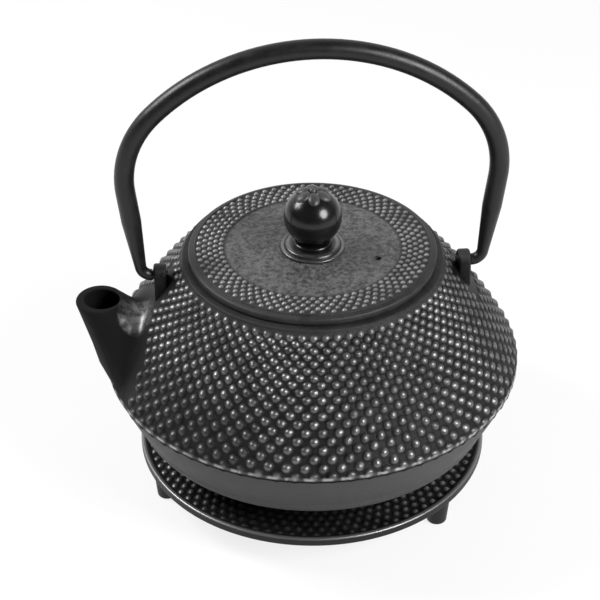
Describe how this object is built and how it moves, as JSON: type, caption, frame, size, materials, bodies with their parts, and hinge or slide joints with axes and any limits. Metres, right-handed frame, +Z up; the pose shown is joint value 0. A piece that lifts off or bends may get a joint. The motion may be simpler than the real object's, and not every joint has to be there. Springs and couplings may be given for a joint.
{
  "type": "cast iron teapot",
  "caption": "Squat hobnailed iron teapot with a horn spout, swinging bail, lift-off lid with ball knob and hanging infuser, standing on a round footed trivet.",
  "frame": {"origin": "middle of the set's outline in plan, in the plane of the trivet's feet; the pot's own axis stands 5.3 mm along +X from it", "axes": "+Z up; the spout points along -X; the bail swings about a line along X"},
  "size_m": [0.1693, 0.1588, 0.189],
  "materials": {
    "trivet_iron": "satin black lacquer over sand-cast iron",
    "pot_iron": "satin black lacquer over sand-cast iron",
    "handle_iron": "satin black lacquer over a forged bar",
    "lid_iron": "satin charcoal, sand-cast",
    "knob_black": "gloss black enamel",
    "infuser_steel": "satin stainless",
    "infuser_mesh": "fine woven stainless",
    "screw_steel": "plain"
  },
  "bodies": {
    "trivet": {"trivet": "trivet_iron"},
    "pot": {"pot_body": "pot_iron"},
    "bail": {"handle": "handle_iron"},
    "infuser": {"infuser_rim": "infuser_steel", "infuser_wall": "infuser_mesh", "infuser_bottom": "infuser_steel"},
    "lid": {"lid": "lid_iron", "knob_rosette": "knob_black", "lid_knob": "knob_black", "knob_washer": "screw_steel", "knob_screw": "screw_steel"}
  },
  "joints": [
    {"name": "pot_lift", "type": "slide", "parent": "trivet", "child": "pot", "axis": [0, 0, 1], "range_m": [0, 0.06]},
    {"name": "bail_swing", "type": "hinge", "parent": "pot", "child": "bail", "pos_m": [0, 0, 0.09273], "axis": [1, 0, 0], "range_deg": [-110, 110]},
    {"name": "infuser_lift", "type": "slide", "parent": "pot", "child": "infuser", "axis": [0, 0, 1], "range_m": [0, 0.048]},
    {"name": "lid_lift", "type": "slide", "parent": "infuser", "child": "lid", "axis": [0, 0, 1], "range_m": [0, 0.05]}
  ]
}
